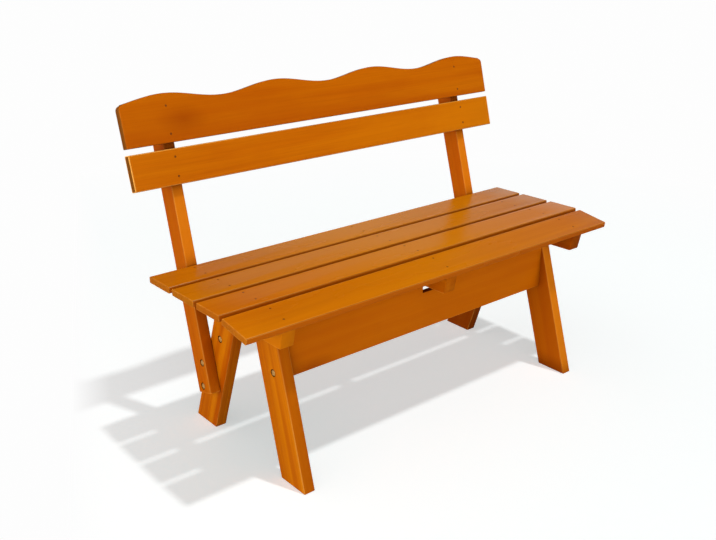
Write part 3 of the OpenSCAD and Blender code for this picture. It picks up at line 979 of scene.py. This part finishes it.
# Painted shade: the walls of a hole are darkened
inside = rest_of(ranged(larger(past_either, past_end), 0.70, 0.85))
bored = mixed(times(inside, given["Bored"]), cornered, PAINTED_HOLE_SHADE)
relief = plus(times(fibres, 0.6), times(ring_tone, 0.4))
feed((out["Colour"], out["Height"], out["Gloss"]),
     (bored, relief, plus(times(blotches, 0.16), given["Matt"])))
print("stained softwood:", len(group.nodes), "nodes")

# %% [markdown]
# ## Staining the pieces
# Every piece gets a material of its own round the shared group. The matrix that laid the piece is
# turned round here: it carries a point of the bench back to the stick on the workbench, so that
# the grain runs along the piece however it leans.

# %% Staining a piece
def stain(piece, kept, spot, looks):
    """Stains a piece. spot is where it lay beside the pith of its tree, in metres."""
    place, *size = kept
    material, tree, shader = new_material(piece.name + "_stain")
    to_stick = place.inverted()
    where = node(tree, "ShaderNodeTexCoord").outputs["Object"]
    laid = node(tree, "ShaderNodeMapping", {"Vector": where},
                Location=to_stick.translation, Rotation=to_stick.to_euler("XYZ"))
    wood = node(tree, "ShaderNodeGroup", node_tree=group)
    turn = place.to_3x3()
    values = dict(looks, spot=spot, size=size,
                  grain=turn @ Vector((1, 0, 0)), across=turn @ Vector((0, 1, 0)))
    shader.inputs["IOR"].default_value = values.pop("polish")
    for word, value in values.items():
        wood.inputs[word.capitalize()].default_value = (*value, 1) if word in ("toned", "sided") else value
    tree.links.new(laid.outputs[0], wood.inputs["Stick"])
    bump = node(tree, "ShaderNodeBump", {"Height": wood.outputs["Height"]}, Strength=0.25, Distance=0.0004)
    feed([shader.inputs[label] for label in ("Base Color", "Roughness", "Normal")],
         (wood.outputs["Colour"], wood.outputs["Gloss"], bump.outputs[0]))
    piece.data.materials.append(material)


# %% [markdown]
# ## Finishes
# Here is what differs from piece to piece. streaks says how strong the bands are. tone is how far
# the piece goes to its own colour, toned, and lean adds to it at one end and takes it away at the
# other. sided is the colour of the narrow sides, and shaded ends it below the seat, as painted
# shade. The other numbers are the strengths of what the cells above make: the paler middle of a
# seat board, which is painted light; the ends and the sides; the paler arrises, which are wear and
# a painted highlight; and the darker holes and corners, which are painted shade. matt and polish
# set the clear coat: how rough it is, and its index of refraction. The usual cloud lies 9 m away,
# where no piece reaches it.

# %% Finishes
# The deepest tone is painted shade, for the right cleat and the right rear leg under the seat
PAINTED_SHADE_TONE = (0.24, 0.034, 0.0004)
# PALE_SIDE is partly the narrow sides' own paler tone and partly painted light on their lit faces
SIDE_STAIN, SEAT_SIDE, PALE_SIDE = (0.24, 0.060, 0.002), (0.33, 0.055, 0.0005), (0.74, 0.205, 0.006)
USUAL = dict(lean=0.0, worn=0.0, ends=0.5, sides=0.0, sided=SIDE_STAIN, rubbed=0.4, bored=1.0, matt=0.28,
             shaded=0.0, corners=0.0, cloud=(9, 9, 9), polish=1.09)


def finish(streaks, tone, toned, **more):
    return dict(USUAL, streaks=streaks, tone=tone, toned=toned, **more)


def seat_finish(tone, toned, lean, worn, sided=SEAT_SIDE, polish=1.2):
    """The seat is smoothed by use, so its coat is glossier."""
    return finish(0.25, tone, toned, lean=lean, worn=worn, ends=0.3, sides=0.75, sided=sided, rubbed=0.5,
                  matt=0.18, polish=polish)


FINISHES = {
    "seat_board_front": seat_finish(0.3, AMBER, -0.1, 0.4, sided=(0.52, 0.100, 0.0005)),
    "seat_board_second": seat_finish(0.4, AMBER, 0.5, 0.75, polish=1.16),
    "seat_board_third": seat_finish(0.5, OAT, 0.1, 0.75),
    "seat_board_rear": seat_finish(0.45, OAT, 0.35, 0.75, polish=1.22),
    # The lower back board's paler right end is painted sheen, and its pale arrises a painted highlight as
    # well as wear
    "back_board_lower": finish(0.25, 0.1, AMBER, lean=1.0, ends=0.85, sides=0.8, rubbed=1.8),
    "back_board_upper": finish(0.3, 0.25, RUSSET, lean=-0.2, ends=0.8, sides=0.9, rubbed=0.1, bored=0.0,
                               cloud=(-0.44, 0.050, 0)),
    # On the aprons the cloud and the darker corners are painted shade
    "apron": finish(0.3, 0.55, (0.70, 0.158, 0.001), sides=0.5, bored=0.0, corners=0.9,
                    cloud=(-0.37, 0, 0)),
    # The right cleat's dark tone is painted shade
    "cleat_right": finish(0.4, 0.7, PAINTED_SHADE_TONE, ends=0.0, bored=0.0),
    "cleat_left": finish(0.4, 0.6, (0.74, 0.215, 0.002), ends=0.0, bored=0.0),
    "cleat": finish(0.4, 0.1, RUSSET, ends=0.0, bored=0.0),
    # The right rear leg's dark tone is painted shade
    "leg_rear_right": finish(0.6, 0.9, PAINTED_SHADE_TONE, rubbed=0.3),
    # The right front leg's pale front side is partly painted light, and its corners are painted shade
    "leg_front_right": finish(0.35, 0.65, RUSSET, sides=0.85, sided=PALE_SIDE, rubbed=0.3, corners=0.8),
    "leg_front": finish(0.85, 0.25, AMBER, sides=0.5, sided=RUSSET, rubbed=0.5),
    "leg": finish(0.8, 0.0, HONEY, sides=0.15, rubbed=0.5),
    # The posts' pale sides are partly painted light; under the seat and in the corners they get painted
    # shade
    "post": finish(0.5, 0.62, RUSSET, lean=0.6, sides=0.85, sided=PALE_SIDE, shaded=1.0, corners=0.9)}
WIDEST_PITH = 0.11
random.seed(21)
for name, kept in placed.items():
    if kept:
        width = min(kept[2], WIDEST_PITH)
        spot = Vector((random.uniform(-3, 3), random.uniform(-0.6, 0.2) * width,
                       random.uniform(0.03, 0.11)))
        kind = next(kind for kind in FINISHES if name.startswith(kind))
        stain(bpy.data.objects[name], kept, spot, FINISHES[kind])

# %% [markdown]
# ## Metal
# The screws and bolts are steel with a thin yellowish zinc coat that has gone dull. On the flanks
# of the heads and on the washers the zinc is darker: painted shade of their recesses. The nails
# were stained over together with the wood, so their heads are brown.

# %% Zinc and stained nails
def linear(r, g, b):
    """A colour as a screen shows it, 0 to 255, as the plain light value that a shader takes."""
    return tuple(((v / 255 + 0.055) / 1.055) ** 2.4 if v > 10 else v / 255 / 12.92 for v in (r, g, b))


def metal(name, dark, pale, roughness, metallic, ior=1.5):
    material, tree, shader = new_material(name)
    where = node(tree, "ShaderNodeTexCoord").outputs["Object"]
    patches = node(tree, "ShaderNodeTexNoise", {"Vector": where}, Scale=260.0, Detail=3.0).outputs["Fac"]
    bump = node(tree, "ShaderNodeBump", {"Height": patches}, Strength=0.2, Distance=0.0001)
    feed([shader.inputs[label] for label in ("Base Color", "Roughness", "Normal", "Metallic", "IOR")],
         (ramp(patches, ((0.3, linear(*dark)), (0.7, linear(*pale)))),
          plus(times(patches, 0.25), roughness), bump.outputs[0], metallic, ior))
    return material


zinc = metal("yellow_zinc", (190, 138, 70), (240, 190, 116), 0.35, 0.4)
# Painted shade: the flanks of the heads and the washers, down in their recesses, get this darker zinc
painted_shade_zinc = metal("painted_shade_zinc", (96, 54, 14), (138, 84, 30), 0.4, 0.4)
stained_nail = metal("stained_nail", (96, 44, 6), (140, 72, 14), 0.45, 0.1, 1.2)
ZINC_WITH_SHADE, ZINC_IN_SHADE, NAILED = (zinc, painted_shade_zinc), (painted_shade_zinc,), (stained_nail,)
COATS = {"coach_screws_turned": ZINC_WITH_SHADE, "post_bolts_turned": ZINC_WITH_SHADE, "post_nuts_faced": ZINC_WITH_SHADE,
         "cleat_wood_screws": ZINC_WITH_SHADE, "washers_stamped": ZINC_IN_SHADE, "seat_wire_nails": NAILED,
         "back_wire_nails": NAILED}
for name, coats in COATS.items():
    for coat in coats:
        bpy.data.objects[name].data.materials.append(coat)

# %% [markdown]
# ## Floor
# The studio is a white floor that runs on into a white backdrop. It is matt and glows a little, so
# that it comes out white under a lamp that is mild to the wood. The glow is cooler by the left
# feet, against the warm light that the legs throw there. Further out the floor turns plain white.
# Towards the left the bench's shadow is painted lighter and then painted out white: painted light.
# The bench itself is lit by a grey floor and mirrors a dark one, which keeps its undersides deep.

# %% Floor
FLOOR_WHITE, FAR_WHITE = (0.70, 0.70, 0.70, 1), (0.985, 0.985, 0.985, 1)
FLOOR_GLOW, BY_THE_FEET = (0.513, 0.523, 0.520), (0.470, 0.515, 0.514)
LEFT_FEET, SHADOW_WAY = (-0.53, -0.03, 0), (-0.912, 0.410, 0)
floor_bm = bmesh.new()
bmesh.ops.create_grid(floor_bm, x_segments=1, y_segments=1, size=30)
floor = new_object("floor", mesh_of(floor_bm, "floor"))
floor.location.z = -0.0002

paper, tree, shader = new_material("white_floor")
tree.nodes.remove(shader)
# The normal leans away from the bright left side, so that the lamp's shadow stays deep enough
tipped = node(tree, "ShaderNodeCombineXYZ", X=0.35, Y=0.0, Z=0.937)
matt = node(tree, "ShaderNodeBsdfDiffuse", {"Normal": tipped.outputs[0]}, Color=FLOOR_WHITE)
spot = node(tree, "ShaderNodeTexCoord").outputs["Object"]
from_feet = ranged(vectors("DISTANCE", spot, LEFT_FEET), 0.10, 0.42)
glow = node(tree, "ShaderNodeEmission", {"Color": mixed(from_feet, BY_THE_FEET, FLOOR_GLOW)}, Strength=1.0)
near = fed("ShaderNodeAddShader", [matt.outputs[0], glow.outputs[0]])
far = node(tree, "ShaderNodeEmission", Color=FAR_WHITE, Strength=1.0)
# Painted light: towards the left the shadow is lightened, then turned plain white
leftwards = vectors("DOT_PRODUCT", spot, SHADOW_WAY)
far_and_left_white = larger(ranged(vectors("LENGTH", spot), 1.5, 2.6),
                     ranged(leftwards, 0.70, 0.82))
shadow_lightened_leftwards = times(ranged(leftwards, 0.45, 0.80), 0.2)
far_and_left_white = larger(far_and_left_white, shadow_lightened_leftwards)
seen = fed("ShaderNodeMixShader", [far_and_left_white, near.outputs[0], far.outputs[0]])
path = node(tree, "ShaderNodeLightPath").outputs
bounce = mixed(path["Is Glossy Ray"], (0.46, 0.46, 0.46), (0.06, 0.06, 0.06))
bounced = node(tree, "ShaderNodeBsdfDiffuse", {"Color": bounce})
shown = fed("ShaderNodeMixShader", [path["Is Camera Ray"], bounced.outputs[0], seen.outputs[0]])
feed([tree.nodes["Material Output"].inputs["Surface"]], shown.outputs)
floor.data.materials.append(paper)

# %% [markdown]
# ## Lamp and surround
# One small lamp, high on the right of the front, casts the crisp shadow with its stripes of light.
# It doesn't fade with distance, so the bench is lit evenly from end to end. A bright surround,
# strongest from the left and the front, fills the shadows. Reflections see another surround: low
# bright panels at the left and the right, which lay the sheen on the seat boards.

# %% Lamp and surround
LAMP_AT, LAMP_SIZE, LAMP_POWER, LAMP_TINT = (1.877, -3.006, 10.517), 0.27, 18.5, (0.95, 1.0, 1.0)
FRONT_LEFT, FRONT_FILL, LEFT_FILL, EVEN_FILL, LEAST_FILL = (-0.70, -0.714, 0), 2.4, 1.35, 0.87, 0.02
lamp = bpy.data.lights.new("key", "POINT")
new_object("key", lamp).location = LAMP_AT
lamp.shadow_soft_size, lamp.energy, lamp.color = LAMP_SIZE, LAMP_POWER, LAMP_TINT
lamp.use_nodes = True
tree = lamp.node_tree
even = node(tree, "ShaderNodeLightFalloff", Strength=1.0)
tree.links.new(even.outputs["Constant"], tree.nodes["Emission"].inputs["Strength"])

world = bpy.data.worlds.new("surround")
bpy.context.scene.world = world
world.use_nodes = True
tree = world.node_tree
way = node(tree, "ShaderNodeTexCoord").outputs["Generated"]
rightwards, _, upwards = xyz(way)
low_down = maths("POWER", rest_of(upwards), 2.0)
from_left = times(rightwards, -LEFT_FILL)
from_front = larger(vectors("DOT_PRODUCT", way, FRONT_LEFT), 0.0)
sideways = times(plus(times(from_front, FRONT_FILL), EVEN_FILL), low_down)
level = plus(plus(sideways, from_left), LEAST_FILL)
level = larger(level, LEAST_FILL)
panel = ramp(upwards, ((0.16, 0.85), (0.26, 0.34), (0.30, 0.38), (0.33, 0.42), (0.36, 0.28), (0.45, 0.02)))
beside = larger(ranged(rightwards, 0.425, 0.465), ranged(rightwards, -0.2, -0.5))
high_right = times(ranged(rightwards, 0.66, 0.73), 0.30)
backdrop = larger(times(panel, beside), plus(high_right, 0.01))
path = node(tree, "ShaderNodeLightPath").outputs
mirrored = mixed(path["Is Glossy Ray"], level, backdrop)
feed((tree.nodes["Background"].inputs["Color"], tree.nodes["Background"].inputs["Strength"]),
     (mixed(path["Is Camera Ray"], mirrored, (1.0, 1.0, 1.0)), 1.0))
